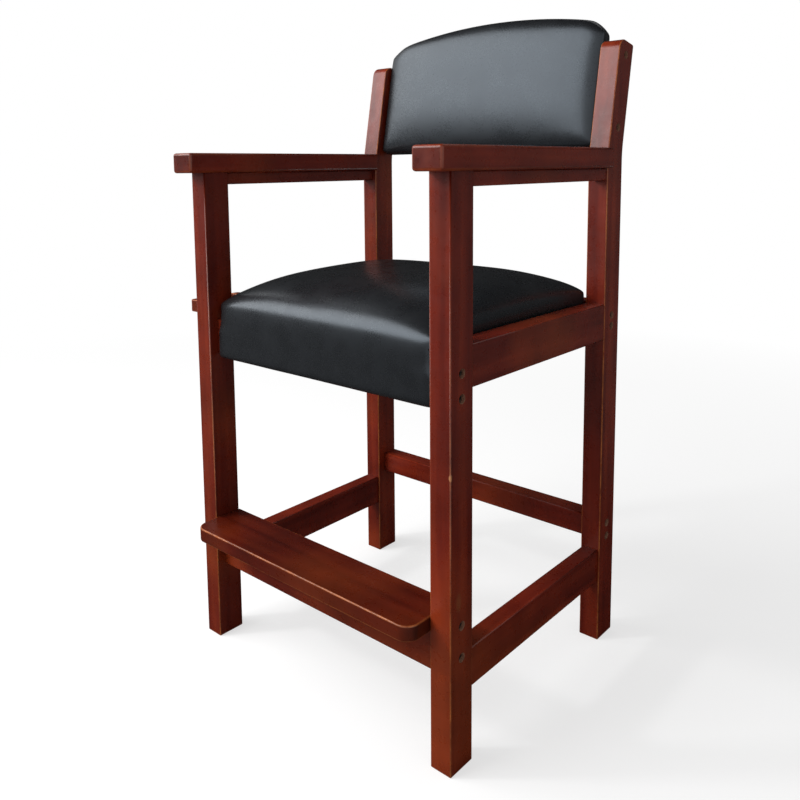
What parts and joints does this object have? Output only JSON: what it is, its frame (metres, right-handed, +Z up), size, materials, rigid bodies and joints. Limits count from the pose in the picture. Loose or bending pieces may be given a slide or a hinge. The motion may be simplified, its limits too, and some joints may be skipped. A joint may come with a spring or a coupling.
{
  "type": "spectator chair",
  "caption": "Tall wooden armchair with a padded black leather seat and back, a footrest plank and a notched side rest for cues.",
  "frame": {"origin": "on the floor, under the middle of the chair's footprint, the side rest for cues included", "axes": "+Z up; the chair faces -Y; +X is to the right as seen from the front, so the cue rest is at -X"},
  "size_m": [0.7154, 0.6284, 1.2096],
  "materials": {
    "frame_wood": "satin lacquer over dark red-brown stain",
    "board_plywood": "raw plywood",
    "block_pine": "raw sawn softwood",
    "seat_leather": "smooth black upholstery leather",
    "dust_cloth": "black non-woven dust cloth",
    "bolt_steel": "zinc-plated steel",
    "screw_steel": "yellow zinc-plated steel"
  },
  "bodies": {
    "root": {"front_leg_left": "frame_wood", "rear_leg_left": "frame_wood", "armrest_left": "frame_wood", "arm_rail_left": "frame_wood", "seat_apron_left": "frame_wood", "side_stretcher_left": "frame_wood", "front_leg_right": "frame_wood", "rear_leg_right": "frame_wood", "armrest_right": "frame_wood", "arm_rail_right": "frame_wood", "seat_apron_right": "frame_wood", "side_stretcher_right": "frame_wood", "front_apron": "frame_wood", "rear_apron": "frame_wood", "front_stretcher": "frame_wood", "rear_stretcher": "frame_wood", "footrest": "frame_wood", "cue_rest": "frame_wood", "seat_board": "board_plywood", "back_board": "board_plywood", "seat_cushion": "seat_leather", "back_cushion": "seat_leather", "back_panel": "seat_leather", "dust_cover": "dust_cloth", "corner_block_front_left": "block_pine", "corner_block_front_right": "block_pine", "corner_block_rear_left": "block_pine", "corner_block_rear_right": "block_pine", "bolt_front_apron_upper_left": "bolt_steel", "bolt_front_apron_upper_right": "bolt_steel", "bolt_front_apron_lower_left": "bolt_steel", "bolt_front_apron_lower_right": "bolt_steel", "bolt_footrest_left": "bolt_steel", "bolt_footrest_right": "bolt_steel", "bolt_front_stretcher_left": "bolt_steel", "bolt_front_stretcher_right": "bolt_steel", "bolt_rear_apron_upper_left": "bolt_steel", "bolt_rear_apron_upper_right": "bolt_steel", "bolt_rear_apron_lower_left": "bolt_steel", "bolt_rear_apron_lower_right": "bolt_steel", "bolt_rear_stretcher_upper_left": "bolt_steel", "bolt_rear_stretcher_upper_right": "bolt_steel", "bolt_rear_stretcher_lower_left": "bolt_steel", "bolt_rear_stretcher_lower_right": "bolt_steel", "bolt_back_upper_left": "bolt_steel", "bolt_back_upper_right": "bolt_steel", "bolt_back_lower_left": "bolt_steel", "bolt_back_lower_right": "bolt_steel", "seat_screw_front_left": "screw_steel", "seat_screw_front_right": "screw_steel", "seat_screw_rear_left": "screw_steel", "seat_screw_rear_right": "screw_steel", "cue_rest_screw_1": "screw_steel", "cue_rest_screw_2": "screw_steel"}
  },
  "joints": []
}
